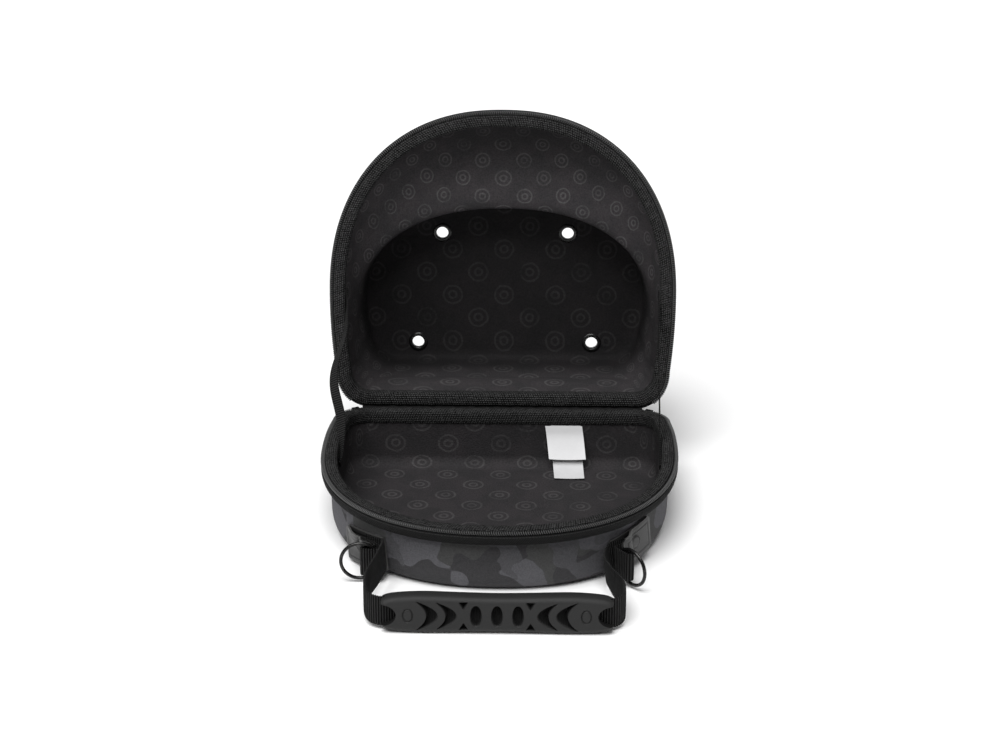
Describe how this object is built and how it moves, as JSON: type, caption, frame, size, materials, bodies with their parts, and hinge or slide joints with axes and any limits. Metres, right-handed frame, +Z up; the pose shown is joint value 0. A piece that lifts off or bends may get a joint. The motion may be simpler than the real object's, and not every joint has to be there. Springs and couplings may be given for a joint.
{
  "type": "baseball cap carrier case",
  "caption": "Open clamshell case for baseball caps: shallow D-shaped tray, deep moulded lid with eyelets, zip rims and a front carrying handle.",
  "frame": {"origin": "centre of the tray's flat underside, where the case stands on a table", "axes": "+Z up, +X to the right seen from the front, -Y towards the round front and the handle; the hinge runs along X at the rear"},
  "size_m": [0.2996, 0.4445, 0.3131],
  "materials": {
    "shell_cloth": "woven polyester bonded over moulded foam, tonal camouflage outside, dark lining inside",
    "binding": "black woven binding tape",
    "zip_tape": "black woven zip tape",
    "zip_coil": "black nylon coil, slightly shiny",
    "webbing": "black ribbed webbing",
    "label_satin": "white satin, bare",
    "patch_leather": "dark grey coated leather with a stitched border",
    "dark_metal": "blackened metal, semi-gloss",
    "grip_rubber": "matte dark grey moulded rubber"
  },
  "bodies": {
    "root": {"base_shell": "shell_cloth", "lid_shell": "shell_cloth", "base_binding": "binding", "lid_binding": "binding", "base_zip_tape": "zip_tape", "lid_zip_tape": "zip_tape", "base_zip_coil": "zip_coil", "lid_zip_coil": "zip_coil", "hinge_strip": "zip_tape", "eyelet_upper_left": "dark_metal", "eyelet_upper_right": "dark_metal", "eyelet_lower_left": "dark_metal", "eyelet_lower_right": "dark_metal", "label_upper": "label_satin", "label_lower": "label_satin", "handle_strap": "webbing", "handle_grip": "grip_rubber", "stay_left": "webbing", "stay_right": "webbing", "zip_slider_left": "dark_metal", "zip_slider_right": "dark_metal", "patch_backing_left": "patch_leather", "patch_backing_right": "patch_leather", "patch_left": "patch_leather", "patch_right": "patch_leather", "stud_left": "patch_leather", "stud_right": "patch_leather", "ring_loop_left": "webbing", "ring_loop_right": "webbing", "ring_left": "dark_metal", "ring_right": "dark_metal"}
  },
  "joints": []
}
